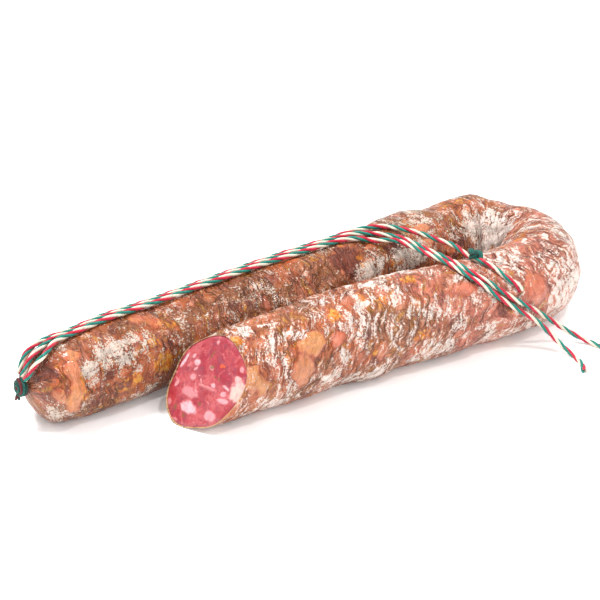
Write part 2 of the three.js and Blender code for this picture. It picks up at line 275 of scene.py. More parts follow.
@dataclass
class Skin:
    """The sausage's skin: its axis, its section at each station, its relief and its cut.

    Stations are millimetres along the axis from the tied end. Clock angles are degrees round
    it: 0 is the horseshoe's outer side, 90 the top, 180 the inner side and 270 the underside.
    """

    axis: tuple[Place, ...] = (
        (-124.5, 16.9, 15.2),
        (-107, 16.9, 15.3),
        (-87, 16.9, 16.2),
        (-61, 19.0, 16.2),
        (-29, 19.0, 17.0),
        (7, 19.0, 17.8),
        (41, 21.0, 18.0),
        (72, 23.2, 18.2),
        (96, 18.9, 18.0),
        (107, 0.9, 17.8),
        (97, -18.6, 17.4),
        (72, -23.2, 17.4),
        (47, -22.0, 17.8),
        (21, -19.4, 18.4),
        (-9, -18.2, 18.2),
        (-37, -17.5, 17.4),
        (-61, -17.7, 16.8),
        (-99, -18.0, 16.5),
    )
    sit: float = 0.97
    nipple_length: float = 4.4
    nipple_radius: float = 1.8
    flare: float = 0.6
    flare_length: float = 0.8
    dome_length: float = 15.0
    dome_fullness: float = 2.8
    dome_sharpness: float = 0.5
    dome_rise: float = 2.8
    rise_length: float = 6.0
    cut_turn: float = 16.0
    cut_lean: float = 30.0
    cut_through: Place = (-62.9, -17.7, 16.4)
    cut_search: float = 85.0
    bend_station: float = 246.0
    bend_reach: float = 34.0
    crease_depth: float = 3.4
    crease_length: float = 6.5
    crease_clock: float = 160.0
    crease_arc: float = 62.0
    pleat_pitch: float = 8.5
    pleat_height: float = 0.42
    pleat_outer_share: float = 0.35
    form_reach: float = 2.45
    fold_reach: float = 2.6
    fold_overrun: float = 0.2
    fold_fade: float = 0.35
    fold_trough: float = 0.6
    fold_trough_at: float = 1.5
    lump_count: int = 90
    lump_seed: int = 11
    lump_ranges: tuple[Pair, ...] = ((16, 432), (0, 360), (4, 11), (13, 33), (-0.75, 0.85))
    curve_steps: int = 48
    cut_halvings: int = 32

    def __post_init__(self) -> None:
        """Works out the axis's curve, the cut's plane and the scattered lumps."""
        self.curve = spline(np.array(self.axis), self.curve_steps)
        plan = self.curve[:, :2]
        self.stations = walk(np.hypot(*np.diff(plan, axis=0).T))
        self.length = float(self.stations[-1])
        self.along = unit(np.gradient(plan, self.stations, axis=0))
        turn, lean = np.radians([self.cut_turn, self.cut_lean])
        flat = np.array([-np.cos(turn), -np.sin(turn)]) * np.cos(lean)
        self.cut_normal = np.array([*flat, np.sin(lean)])
        self.cut_inward = np.array([np.cos(turn), np.sin(turn), 0.0])
        self.cut_across = unit(np.cross([0.0, 0.0, 1.0], self.cut_normal))
        self.cut_up = np.cross(self.cut_normal, self.cut_across)
        self.cut_point = np.array(self.cut_through)
        drawer = Drawer(self.lump_seed)
        self.lumps = [Form(*drawer.row(self.lump_ranges)) for _ in range(self.lump_count)]

    def axis_at(self, station: Array) -> tuple[Array, Array, Array]:
        """Looks up the axis.

        Args:
            station: the stations to look up.

        Returns:
            The axis's place in plan, the radius, and the axis's direction in plan.
        """
        place = np.stack([np.interp(station, self.stations, self.curve[:, k]) for k in (0, 1)], -1)
        radius = np.interp(station, self.stations, self.curve[:, 2])
        along = np.stack([np.interp(station, self.stations, self.along[:, k]) for k in (0, 1)], -1)
        return place, radius, unit(along)

    def fullness(self, station: Array) -> Array:
        """How full the section is: none on the nipple, and 1 past the dome."""
        share = np.clip((station - self.nipple_length) / self.dome_length, 0.0, 1.0)
        return (1.0 - (1.0 - share) ** self.dome_fullness) ** self.dome_sharpness

    def bare(self, station: Array) -> Array:
        """The section's radius before any relief.

        Args:
            station: the stations.

        Returns:
            The radius at each of them.
        """
        radius = self.axis_at(station)[1]
        flare = self.flare * mound(station / self.flare_length)
        return self.nipple_radius + flare + (radius - self.nipple_radius) * self.fullness(station)

    def fold_height(self, fold: Fold, station: Array, clock: Array) -> Array:
        """A fold's height: a rounded ridge along its slanting line, fading at both ends.

        Args:
            fold: the fold.
            station: each point's station.
            clock: each point's clock angle.

        Returns:
            The height at each point.
        """
        share = clock_gap(clock, fold.start[1]) / clock_gap(fold.end[1], fold.start[1])
        inside = np.minimum(share, 1.0 - share) + self.fold_overrun
        off = (station - (fold.start[0] + (fold.end[0] - fold.start[0]) * share)) / fold.width
        fade = np.clip(inside / self.fold_fade, 0.0, 1.0) * (np.abs(off) <= self.fold_reach)
        return fold.height * fade * (mound(off) - self.fold_trough * mound(off - self.fold_trough_at))

    def relief(self, station: Array, clock: Array) -> Array:
        """The relief's height: forms, lumps, folds, the bend's crease and its pleats.

        Args:
            station: each point's station.
            clock: each point's clock angle.

        Returns:
            The height at each point.
        """
        height = np.zeros(np.broadcast(station, clock).shape)
        for form in (*FORMS, *self.lumps):
            x, y = form.off(station, clock)
            inside = np.hypot(x, y) < self.form_reach
            height += np.where(inside, form.height * mound(x) * mound(y), 0.0)
        for fold in FOLDS:
            height += self.fold_height(fold, station, clock)
        bend = mound((station - self.bend_station) / self.bend_reach)
        inner = np.maximum(0.0, -np.cos(np.radians(clock)))
        crease = mound((station - self.bend_station) / self.crease_length)
        height -= self.crease_depth * crease * mound(clock_gap(clock, self.crease_clock) / self.crease_arc)
        phase = 2 * np.pi * (station - self.bend_station) / self.pleat_pitch
        share = self.pleat_outer_share + (1.0 - self.pleat_outer_share) * inner
        return height + self.pleat_height * bend * share * np.cos(phase)

    def around(self, station: Array, clock: Array, distance: Array) -> Array:
        """Points at a given distance from the axis.

        Args:
            station: how far along the axis.
            clock: the angle round it.
            distance: how far from it.

        Returns:
            The points, with x, y and z last.
        """
        place, radius, along = self.axis_at(station)
        angle = np.radians(clock)
        past = np.maximum(0.0, station - self.nipple_length)
        lift = self.dome_rise * mound(past / self.rise_length)
        side = distance * np.cos(angle)
        x = place[..., 0] - along[..., 1] * side
        y = place[..., 1] + along[..., 0] * side
        z = radius * self.sit + lift + distance * np.sin(angle)
        return np.stack(np.broadcast_arrays(x, y, z), -1)

    def on(self, station: Array, clock: Array, lift: float = 0.0, extra: Array | float = 0.0) -> Array:
        """Points on the skin, or above it.

        Args:
            station: how far along the axis.
            clock: the angle round it.
            lift: how far above the skin, and the least height over the table.
            extra: finer relief, added to the skin's own.

        Returns:
            The points, with x, y and z last.
        """
        relief = (self.relief(station, clock) + extra) * self.fullness(station)
        points = self.around(station, clock, self.bare(station) + relief + lift)
        points[..., 2] = np.maximum(lift, points[..., 2])
        return points

    def cut_stations(self, clock: Array) -> Array:
        """The station at which the skin's line at each clock angle meets the cut.

        Args:
            clock: the clock angles.

        Returns:
            The station for each of them.
        """
        low = np.full(clock.shape, self.length - self.cut_search)
        high = np.full(clock.shape, self.length)
        for _ in range(self.cut_halvings):
            middle = (low + high) / 2
            past = (self.on(middle, clock) - self.cut_point) @ self.cut_normal > 0
            high = np.where(past, middle, high)
            low = np.where(past, low, middle)
        return low


@dataclass
class Draft:
    """A mesh in the making, in millimetres."""

    points: Array
    faces: list[Sequence[int]]
    attributes: dict[str, Array] = field(default_factory=dict)
    slots: Array | None = None
    sharp: set[tuple[int, int]] = field(default_factory=set)

    def build(self, name: str, materials: Sequence[Material]) -> Piece:
        """Makes the mesh and its object.

        Args:
            name: the piece's name.
            materials: its finishes, in the order that slots counts them.

        Returns:
            The new object, linked to the scene.
        """
        mesh = bpy.data.meshes.new(name)
        mesh.from_pydata((self.points * MM).tolist(), [], self.faces)
        mesh.polygons.foreach_set("use_smooth", np.ones(len(mesh.polygons), bool))
        for material in materials:
            mesh.materials.append(material)
        if self.slots is not None:
            mesh.polygons.foreach_set("material_index", self.slots.astype(np.int32))
        for key, values in self.attributes.items():
            kind, slot = ("FLOAT_VECTOR", "vector") if values.ndim == 2 else ("FLOAT", "value")
            layer = mesh.attributes.new(key, kind, "POINT")
            layer.data.foreach_set(slot, values.astype(np.float32).ravel())
        if self.sharp:
            flags = [tuple(sorted(edge.vertices)) in self.sharp for edge in mesh.edges]
            mesh.attributes.new("sharp_edge", "BOOLEAN", "EDGE").data.foreach_set("value", flags)
        mesh.update()
        piece = bpy.data.objects.new(name, mesh)
        bpy.context.scene.collection.objects.link(piece)
        return piece


def tube_faces(rings: int, sides: int, first: int = 0) -> list[tuple[int, ...]]:
    """The faces of a tube that closes on two more points, one for each end.

    Args:
        rings: how many rings of points there are. The two end points follow them.
        sides: how many points each ring has.
        first: the first point's index.

    Returns:
        The faces, facing out where the points run anticlockwise seen from the last ring.
    """
    i, j = np.meshgrid(np.arange(rings - 1), np.arange(sides), indexing="ij")
    near = first + i * sides
    far = near + sides
    after = (j + 1) % sides
    faces = np.stack([near + j, near + after, far + after, far + j], -1).reshape(-1, 4).tolist()
    start = first + rings * sides
    last = start - sides
    for j in range(sides):
        after = (j + 1) % sides
        faces += [(start, first + after, first + j), (start + 1, last + j, last + after)]
    return faces


class Shade:
    """A socket of a material's nodes, on which Python arithmetic adds Math nodes."""

    def __init__(self, board: "Board", socket: bpy.types.NodeSocket) -> None:
        """Args:
        board: the material's nodes.
        socket: the output that this stands for.
        """
        self.board = board
        self.socket = socket

    def _math(self, operation: str, first: Any, second: Any = 0.0) -> "Shade":
        """Adds a Math node and gives its result."""
        return self.board.node("ShaderNodeMath", {"operation": operation}, {0: first, 1: second})

    def __add__(self, other: "Shade | Number") -> "Shade":
        """This plus another."""
        return self._math("ADD", self, other)

    def __radd__(self, other: Number) -> "Shade":
        """A number plus this."""
        return self._math("ADD", other, self)

    def __sub__(self, other: "Shade | Number") -> "Shade":
        """This less another."""
        return self._math("SUBTRACT", self, other)

    def __rsub__(self, other: Number) -> "Shade":
        """A number less this."""
        return self._math("SUBTRACT", other, self)

    def __mul__(self, other: "Shade | Number") -> "Shade":
        """This times another."""
        return self._math("MULTIPLY", self, other)

    def __rmul__(self, other: Number) -> "Shade":
        """A number times this."""
        return self._math("MULTIPLY", other, self)

    def lowest(self, other: "Shade | Number") -> "Shade":
        """The smaller of this and another."""
        return self._math("MINIMUM", self, other)

    def apart(self, middle: float) -> "Shade":
        """How far this is from a middle value, either way."""
        return self._math("ABSOLUTE", self - middle)

    def step(self, low: float, high: float) -> "Shade":
        """A soft step of this, from 0 at low to 1 at high."""
        settings = {"interpolation_type": "SMOOTHSTEP"}
        return self.board.node("ShaderNodeMapRange", settings, {0: self, 1: low, 2: high})


class Board:
    """A material's nodes, round one Principled shader."""

    def __init__(self, name: str) -> None:
        """Args:
        name: the material's name.
        """
        self.material = bpy.data.materials.new(name)
        self.material.use_nodes = True
        self.tree = self.material.node_tree
        self.shader = next(n for n in self.tree.nodes if n.type == "BSDF_PRINCIPLED")

    def node(
        self,
        kind: str,
        settings: dict[str, Any],
        sockets: dict[int | str, Any],
        output: int | str = 0,
    ) -> Shade:
        """Adds a node of any type.

        Args:
            kind: the node's type.
            settings: its options, set first.
            sockets: what its inputs are set or linked to, by number or name.
            output: the output that is given back.

        Returns:
            The node's output.
        """
        made = self.tree.nodes.new(kind)
        for key, value in settings.items():
            setattr(made, key, value)
        for key, value in sockets.items():
            self.feed(made.inputs[key], value)
        return Shade(self, made.outputs[output])

    def feed(self, socket: bpy.types.NodeSocket, value: Any) -> None:
        """Links a socket to another's output, or sets it to a value or to a colour's web code.

        Args:
            socket: the input.
            value: what it is linked or set to.
        """
        if isinstance(value, Shade):
            self.tree.links.new(value.socket, socket)
        else:
            socket.default_value = linear(value) if isinstance(value, str) else value

    def attribute(self, name: str, output: str = "Fac") -> Shade:
        """Reads one of the mesh's attributes."""
        return self.node("ShaderNodeAttribute", {"attribute_name": name}, {}, output)

    def vector(self, operation: str, first: Any, second: Any) -> Shade:
        """Adds a Vector Math node and gives its result."""
        return self.node("ShaderNodeVectorMath", {"operation": operation}, {0: first, 1: second})

    def drawn_out(self, vector: Shade, share: float) -> Shade:
        """A flat vector with its second axis scaled, on which noise comes out longer."""
        return self.vector("MULTIPLY", vector, (1.0, share, 1.0))

    def drifted(self, vector: Shade, size: float, reach: float) -> Shade:
        """A flat vector pushed this way and that by noise, up to a reach in millimetres.

        Args:
            vector: the vector.
            size: how large the noise's lumps are.
            reach: how far it pushes.

        Returns:
            The pushed vector.
        """
        sockets = {"Vector": vector, "Scale": 1.0 / size, "Detail": 2.0}
        noise = self.node("ShaderNodeTexNoise", {}, sockets, "Color")
        push = self.vector("SUBTRACT", noise, (0.5, 0.5, 0.5))
        return self.vector("ADD", vector, self.vector("MULTIPLY", push, (2 * reach, 2 * reach, 0.0)))

    def noise(self, vector: Shade, size: float, detail: float = 3.0, distortion: float = 0.0) -> Shade:
        """Noise with lumps of a given size, about 0.5 in the middle."""
        sockets = {"Vector": vector, "Scale": 1.0 / size, "Detail": detail, "Distortion": distortion}
        return self.node("ShaderNodeTexNoise", {}, sockets)

    def mix(self, share: Any, first: Any, second: Any, blend: str = "MIX") -> Shade:
        """Mixes two colours.

        Args:
            share: how much of the second there is.
            first: the colour below.
            second: the colour above.
            blend: how they mix.

        Returns:
            The mixed colour.
        """
        settings = {"data_type": "RGBA", "blend_type": blend}
        return self.node("ShaderNodeMix", settings, {0: share, 6: first, 7: second}, 2)

    def layers(self, colour: Any, *above: tuple[Any, Any]) -> Any:
        """Lays colours over each other.

        Args:
            colour: the lowest colour.
            above: the share and the colour of each layer over it, from below.

        Returns:
            The mixed colour.
        """
        for share, layer in above:
            colour = self.mix(share, colour, layer)
        return colour

    def bump(self, height: Shade, distance: float, strength: float) -> Shade:
        """The normal that a height in 0 to 1 gives, over a distance in millimetres."""
        sockets = {"Height": height, "Distance": distance * MM, "Strength": strength}
        return self.node("ShaderNodeBump", {}, sockets)

    def finish(self, **inputs: Any) -> Material:
        """Feeds the shader, by its sockets' names with underscores, and gives the material.

        Args:
            inputs: each socket's value or link.

        Returns:
            The finished material.
        """
        for name, value in inputs.items():
            self.feed(self.shader.inputs[name.replace("_", " ")], value)
        return self.material


@dataclass(frozen=True)
class CasingFinish:
    """The dry natural casing: meat and fat show through it, and white mould lies on it."""

    brown: str = "844416"
    terracotta: str = "a85020"
    plum: str = "7c3c30"
    pink: str = "bc7454"
    gold: str = "b07420"
    rosy: str = "b86654"
    dark: str = "301509"
    lean: str = "66240f"
    tan: str = "c2884c"
    salmon: str = "c86c52"
    amber: str = "c46c08"
    honey: str = "dca448"
    blush: str = "9c3c1a"
    mould: str = "dacbc2"
    grey: str = "c2b4a8"
    veil: str = "b08c70"
    cream: str = "b8946a"
    dust: str = "c2947e"

    cloud_size: float = 18.0
    zone_size: float = 13.0
    drift_size: float = 10.0
    drift_reach: float = 5.0
    marble_size: float = 4.2
    spot_size: float = 2.9
    clump_size: float = 3.6
    lump_size: float = 2.2
    crack_size: float = 2.4
    streak_size: float = 1.3
    speck_size: float = 0.85
    pinhole_size: float = 0.45
    relief: float = 1.8

    def material(self) -> Material:
        """Makes the material.

        Returns:
            The finished material.
        """
        board = Board("casing")
        place, sheet = board.attribute("straight", "Vector"), board.attribute("sheet", "Vector")
        flow = board.drifted(sheet, self.drift_size, self.drift_reach)
        small = board.noise(place, self.lump_size, 4.0, 0.6)
        streak = board.noise(board.drawn_out(flow, 0.22), self.streak_size, 4.0, 0.3)
        clump = board.noise(board.drawn_out(flow, 0.65), self.clump_size, 5.0, 0.5)
        speck = board.noise(place, self.speck_size)
        pinhole = board.noise(place, self.pinhole_size, 2.0)
        crack = board.noise(board.drawn_out(flow, 0.3), self.crack_size, 3.0, 0.6).apart(0.5)
        fat = board.attribute("fat").step(0.25, 0.6)
        rough = board.noise(place, self.zone_size, 2.0).step(0.42, 0.56)
        calm = (1.0 - fat * 0.6) * (0.5 + rough * 0.65)
        fissure = crack.step(0.022, 0.0) * calm
        streaky = board.attribute("streaky")
        under = self.marbling(board, place, flow, small)
        # Dark lines in the cracks, where the bump sinks: partly the cracks' own dark colour, partly
        # painted shade.
        under = board.mix(fissure * (0.75 - streaky * 0.25), under, self.dark)
        under = self.inside(board, place, small, under)
        # Painted light and shade on the wrinkles: the casing under the mould is lighter where the streaks
        # raise the bump and darker where it sinks. Off the fat, the casing is also darker before the bend.
        shade = board.node("ShaderNodeMapRange", {}, {0: streak, 1: 0.3, 2: 0.7, 3: 0.58, 4: 1.42})
        shade = (1.0 + (shade - 1.0) * calm) * (0.84 + (streaky + fat).lowest(1.0) * 0.16)
        tone = board.node("ShaderNodeCombineColor", {}, {0: shade, 1: shade, 2: shade})
        under = board.mix(1.0, under, tone, "MULTIPLY")
        value = board.attribute("mould") + (streak - 0.5) * (0.5 + streaky * 1.3)
        value = value + (clump - 0.5) * (2.2 - streaky * 0.4) + (speck - 0.5) * (2.0 - streaky * 0.6)
        value = value - fissure * 0.25 + (pinhole - 0.5) * (1.8 - streaky)
        powder = value.step(0.44, 0.68)
        white = board.mix(streaky, self.grey, self.mould)
        colour = board.layers(
            under,
            (value.step(0.1, 0.52) * (0.18 + streaky * 0.24), board.mix(streaky, self.veil, self.dust)),
            (powder * 0.95, board.mix(small.step(0.55, 0.72) * 0.5, white, self.veil)),
            (board.attribute("rim") * small.step(0.3, 0.55), self.cream),
        )
        height = (streak * 0.9 + clump * 0.9 + crack.lowest(0.06) * 6.0) * calm
        return board.finish(
            Base_Color=colour,
            Roughness=0.36 + small * 0.14 + powder * 0.4 - fat * 0.12,
            Normal=board.bump(height + speck * 0.3 + small * fat * 0.5, self.relief, 0.9),
            Specular_IOR_Level=0.4,
            Coat_Weight=(1.0 - powder) * (0.2 + fat * 0.3),
            Coat_Roughness=0.12,
        )

    def marbling(self, board: Board, place: Shade, flow: Shade, small: Shade) -> Shade:
        """The bare casing's colour.

        Args:
            board: the material's nodes.
            place: the skin laid straight.
            flow: the skin laid flat, with its wrinkles' drift.
            small: noise with small lumps.

        Returns:
            The marbled colour.
        """
        drawn_out = board.drawn_out(flow, 0.5)
        large = board.noise(place, self.cloud_size, 2.0, 0.4)
        middle = board.noise(drawn_out, self.marble_size, 4.0, 0.8)
        other = board.noise(drawn_out, self.spot_size, 4.0, 0.8)
        rosy = board.attribute("rosy") + (large - 0.5) * 1.5
        return board.layers(
            self.brown,
            (large.step(0.42, 0.58), self.terracotta),
            (rosy.step(0.3, 0.9) * 0.8, self.rosy),
            (middle.step(0.5, 0.66) * 0.75, self.plum),
            (other.step(0.54, 0.7) * 0.8, self.pink),
            (other.step(0.46, 0.3) * 0.8, self.gold),
            (small.step(0.58, 0.7) * 0.6, self.dark),
        )

    def inside(self, board: Board, place: Shade, small: Shade, under: Shade) -> Shade:
        """What shows through the casing.

        Args:
            board: the material's nodes.
            place: the skin laid straight.
            small: noise with small lumps.
            under: the bare casing's colour.

        Returns:
            The colour with lean, fat and amber fat in it.
        """
        depth = board.attribute("fat")
        uneven = board.noise(place, self.clump_size, 4.0, 1.2)
        heart = board.layers(
            self.tan,
            (board.attribute("pink"), self.salmon),
            (uneven.step(0.52, 0.72) * 0.5, self.amber),
            (small.step(0.46, 0.3) * 0.35, self.blush),
        )
        return board.layers(
            under,
            ((board.attribute("lean") + (small - 0.5) * 0.8).step(0.25, 0.7) * 0.85, self.lean),
            (
                (depth + (small - 0.5) * 0.5).step(0.14, 0.7) * 0.82,
                board.mix((depth + (uneven - 0.5) * 1.1).step(0.35, 1.0), self.blush, heart),
            ),
            (
                (board.attribute("amber") + (uneven - 0.5) * 2.2).step(0.4, 0.75) * 0.9,
                board.mix(small.step(0.46, 0.6) * 0.7, self.amber, self.honey),
            ),
        )


@dataclass(frozen=True)
class MeatFinish:
    """The slanted cut: moist red meat with pieces of fat, and flecks of spice."""

    red: str = "962234"
    rose: str = "a63a42"
    mauve: str = "7e3142"
    deep: str = "981820"
    white: str = "c8aeb6"
    blush: str = "bc5e60"
    cream: str = "d4b2a6"
    orange: str = "d4561e"
    olive: str = "6e5028"

    drift_size: float = 6.0
    drift_reach: float = 4.0
    patch_size: float = 9.0
    marble_size: float = 4.6
    vein_size: float = 3.4
    swirl_size: float = 2.3
    grain_size: float = 1.9
    fine_size: float = 0.8
    relief: float = 0.4

    def material(self) -> Material:
        """Makes the material.

        Returns:
            The finished material.
        """
        board = Board("cut_meat")
        place, fat = board.attribute("face", "Vector"), board.attribute("fat")
        flow = board.drifted(place, self.drift_size, self.drift_reach)
        large = board.noise(place, self.patch_size, 2.0)
        middle = board.noise(flow, self.marble_size, 3.0, 0.8)
        small = board.noise(board.drawn_out(flow, 0.55), self.grain_size, 4.0, 0.8)
        vein = board.noise(flow, self.vein_size, 4.0, 0.6).apart(0.52)
        swirl = board.noise(flow, self.swirl_size, 4.0, 1.2).apart(0.5).step(0.1, 0.01)
        fine = board.noise(place, self.fine_size, 3.0, 0.6)
        lard = board.layers(
            self.white,
            (board.attribute("warm"), self.blush),
            (board.attribute("cream"), self.cream),
            (small.step(0.52, 0.66) * 0.35, self.blush),
        )
        colour = board.layers(
            self.red,
            (middle.step(0.4, 0.6), self.rose),
            (small.step(0.48, 0.64) * 0.7, self.mauve),
            (small.step(0.44, 0.32) * 0.6, self.blush),
            (large.step(0.5, 0.66) * 0.5, self.mauve),
            (vein.step(0.03, 0.0) * middle.step(0.42, 0.6) * 0.6, self.blush),
            (board.attribute("deep") * 0.6, self.deep),
            (board.attribute("pale") * (0.2 + swirl * 0.55), self.blush),
            ((fat + (small - 0.5) * 0.8).step(0.0, 0.6) * 0.6, self.blush),
            ((fat + (fine - 0.5) * 0.7).step(0.3, 1.0) * 0.95, lard),
            (board.attribute("spice") * 0.85, self.orange),
            (board.attribute("fleck") * 0.8, self.olive),
        )
        return board.finish(
            Base_Color=colour,
            Roughness=0.3 + small * 0.16 + fat * 0.08,
            Normal=board.bump(small * 0.8 + fine * 0.3 + fat * 0.3, self.relief, 0.55),
            Coat_Weight=0.25,
            Coat_Roughness=0.16,
            Subsurface_Weight=0.12,
            Subsurface_Radius=(0.0025, 0.0008, 0.0006),
            Subsurface_Scale=1.0,
        )


class Ply(Enum):
    """The twine's three plies, with each one's colour."""

    RED = "c41c3c"
    GREEN = "027d6e"
    CREAM = "e6dac6"


@dataclass(frozen=True)
class TwineFinish:
    """One ply's cotton, with its fibres running along the twist."""

    ply: Ply
    name: str = "twine"
    # A tone below 1 gives a darker copy of the ply: painted shade.
    tone: float = 1.0
    shadow: float = 0.55
    paleness: float = 0.2
    strand_size: float = 0.16
    fuzz_size: float = 0.5
    relief: float = 0.25

    def material(self) -> Material:
        """Makes the material.

        Returns:
            The finished material.
        """
        board = Board(self.name + "_" + self.ply.name.lower())
        fibre = board.attribute("fibre", "Vector")
        strand = board.noise(fibre, self.strand_size)
        fuzz = board.noise(fibre, self.fuzz_size, 2.0)
        *dyed, alpha = linear(self.ply.value)
        full = [self.tone * part for part in dyed]
        dark = [self.shadow * part for part in full]
        pale = [part + (self.tone - part) * self.paleness for part in full]
        colour = board.layers(
            (*full, alpha),
            (strand.step(0.56, 0.36), (*dark, alpha)),
            (fuzz.step(0.58, 0.72) * 0.35, (*pale, alpha)),
        )
        return board.finish(
            Base_Color=colour,
            Roughness=0.85,
            Normal=board.bump(strand, self.relief, 0.6),
            Sheen_Weight=0.08,
            Sheen_Roughness=0.5,
        )


class Tissue(Enum):
    """What a patch of the skin is, named after the attribute that it raises."""

    FAT = "fat"
    AMBER = "amber"
    LEAN = "lean"
    MOULD = "mould"
    BARE = "bare"


@dataclass(frozen=True)
class Patch(Spot):
    """A patch of the skin, with its strength, its pinkness and what it is."""

    strength: float = 1.0
    pink: float = 0.3
    tissue: Tissue = Tissue.FAT
    edge: Pair = (1.3, 0.45)

    def cover(self, station: Array, clock: Array, wobble: Array) -> Array:
        """How far each point of the skin is inside the patch, from 0 to its strength."""
        return self.strength * smooth(*self.edge, np.hypot(*self.off(station, clock)) + wobble)


FAT, AMBER, LEAN, MOULD, BARE = Tissue
PATCHES = tuple(
    Patch(*row, tissue=tissue)
    for tissue, rows in {
        FAT: (
            (18, 140, 3.4, 16, 1.0, 0.65), (17.5, 162, 3.4, 14, 1.0, 0.6), (16, 180, 4.4, 22, 1.0, 0.4),
            (10, 174, 3.6, 18, 0.75, 0.2), (20, 119, 4.2, 11, 0.85, 0.45), (187, 117, 4.5, 8, 1.0, 0.5),
            (186, 139, 4.6, 8, 0.9, 0.6), (285, 26, 7, 22, 0.8, 1.0), (317, 50, 7.5, 11, 1.0, 1.0),
            (387, 37, 6.2, 19, 1.0, 0.15), (394, 9, 6, 23, 1.0, 0.5), (377, 32, 4.2, 11, 0.9, 1.0),
            (415, 12, 6.2, 26, 1.0, 0.2),
        ),
        AMBER: (
            (20.5, 153, 1.6, 9, 0.7), (54, 172, 6, 15, 0.95), (53, 142, 4.5, 10, 0.7),
            (40, 187, 6, 22, 0.5), (209, 88, 9, 10, 0.5), (265, 113, 8, 10, 0.75),
            (254, 84, 6, 16, 0.35), (335, 79, 4, 9, 0.8), (374, 60, 3.2, 10, 1.0), (416, 77, 4, 9, 0.9),
            (409, 2, 2, 8, 0.6),
        ),
        LEAN: (
            (8, 125, 4, 30, 0.9), (58, 151, 4.5, 8, 0.7), (33, 163, 4, 13, 0.8), (28, 198, 9, 14, 0.6),
            (146, 122, 8, 22, 0.95), (168, 129, 4, 9, 0.9), (204, 149, 4.5, 11, 0.7),
            (272, 62, 5, 12, 0.7), (290, 20, 3, 18, 0.4), (322, 7, 3.6, 15, 0.9),
            (400.5, 12, 1.5, 26, 0.75), (374, 42, 2.2, 5, 0.8),
        ),
        MOULD: (
            (10, 217, 4.5, 26, 0.75), (23, 155, 6.5, 16, 1.0), (38, 137, 14, 17, 1.05),
            (18, 104, 3, 14, 0.6), (46, 204, 8, 16, 0.5), (157, 139, 7, 17, 1.1),
            (176, 147, 13, 17, 1.25), (190, 103, 8, 9, 0.9), (216, 128, 15, 18, 0.75),
            (207, 134, 11, 13, 0.95), (404, 34, 4, 28, 0.8), (410, 86, 4, 9, 0.7),
            (367, 30, 6, 28, 0.6), (382, -12, 7, 24, 0.65), (352, 92, 9, 6, 0.6), (339, 109, 7, 8, 0.7),
            (373, 88, 5, 9, 0.65), (345, -34, 14, 18, 0.45), (324, 24, 3, 9, 0.7),
            (306, -14, 5, 22, 0.6), (316, 66, 5, 8, 0.6), (330, -26, 8, 18, 0.5), (274, 0, 8, 26, 0.15),
            (408, -34, 10, 16, 0.55), (365, -40, 12, 14, 0.6), (236, 150, 18, 30, 0.85),
            (226, 106, 12, 12, 0.45), (392, 52, 8, 10, 0.35), (362, 62, 5, 24, 0.5),
        ),
        BARE: (
            (39, 192, 13, 17, 0.7), (17, 160, 3.6, 34, 0.9), (9, 150, 5, 34, 0.5),
            (33, 165, 3.6, 15, 0.8), (146, 122, 8, 22, 0.8), (168, 129, 4, 9, 0.6),
            (209, 90, 9, 10, 0.5), (285, 26, 7, 22, 0.3), (317, 48, 7.5, 12, 0.7),
            (388, 24, 10, 34, 0.9), (377, 34, 5, 13, 0.6), (316, 5, 20, 34, 0.3),
            (316, -24, 12, 14, 0.4), (335, 80, 6, 12, 0.4),
        ),
    }.items()
    for row in rows
)


@dataclass(frozen=True)
class Bloom:
    """How thick the white mould lies: in general, and more or less for each cause."""

    everywhere: float = 0.15
    bend: float = 0.14
    bend_station: float = 256.0
    bend_reach: float = 46.0
    cut_leg: float = 0.18
    patch: float = 0.55
    bare: float = 0.5
    fold: float = 0.6
    fat: float = 0.35
    fat_edge: float = 0.25
    edge_at: float = 0.3
    edge_reach: float = 0.12
    fold_gap: Pair = (-0.5, 0.4)
    edge_gap: Pair = (-0.2, 0.4)


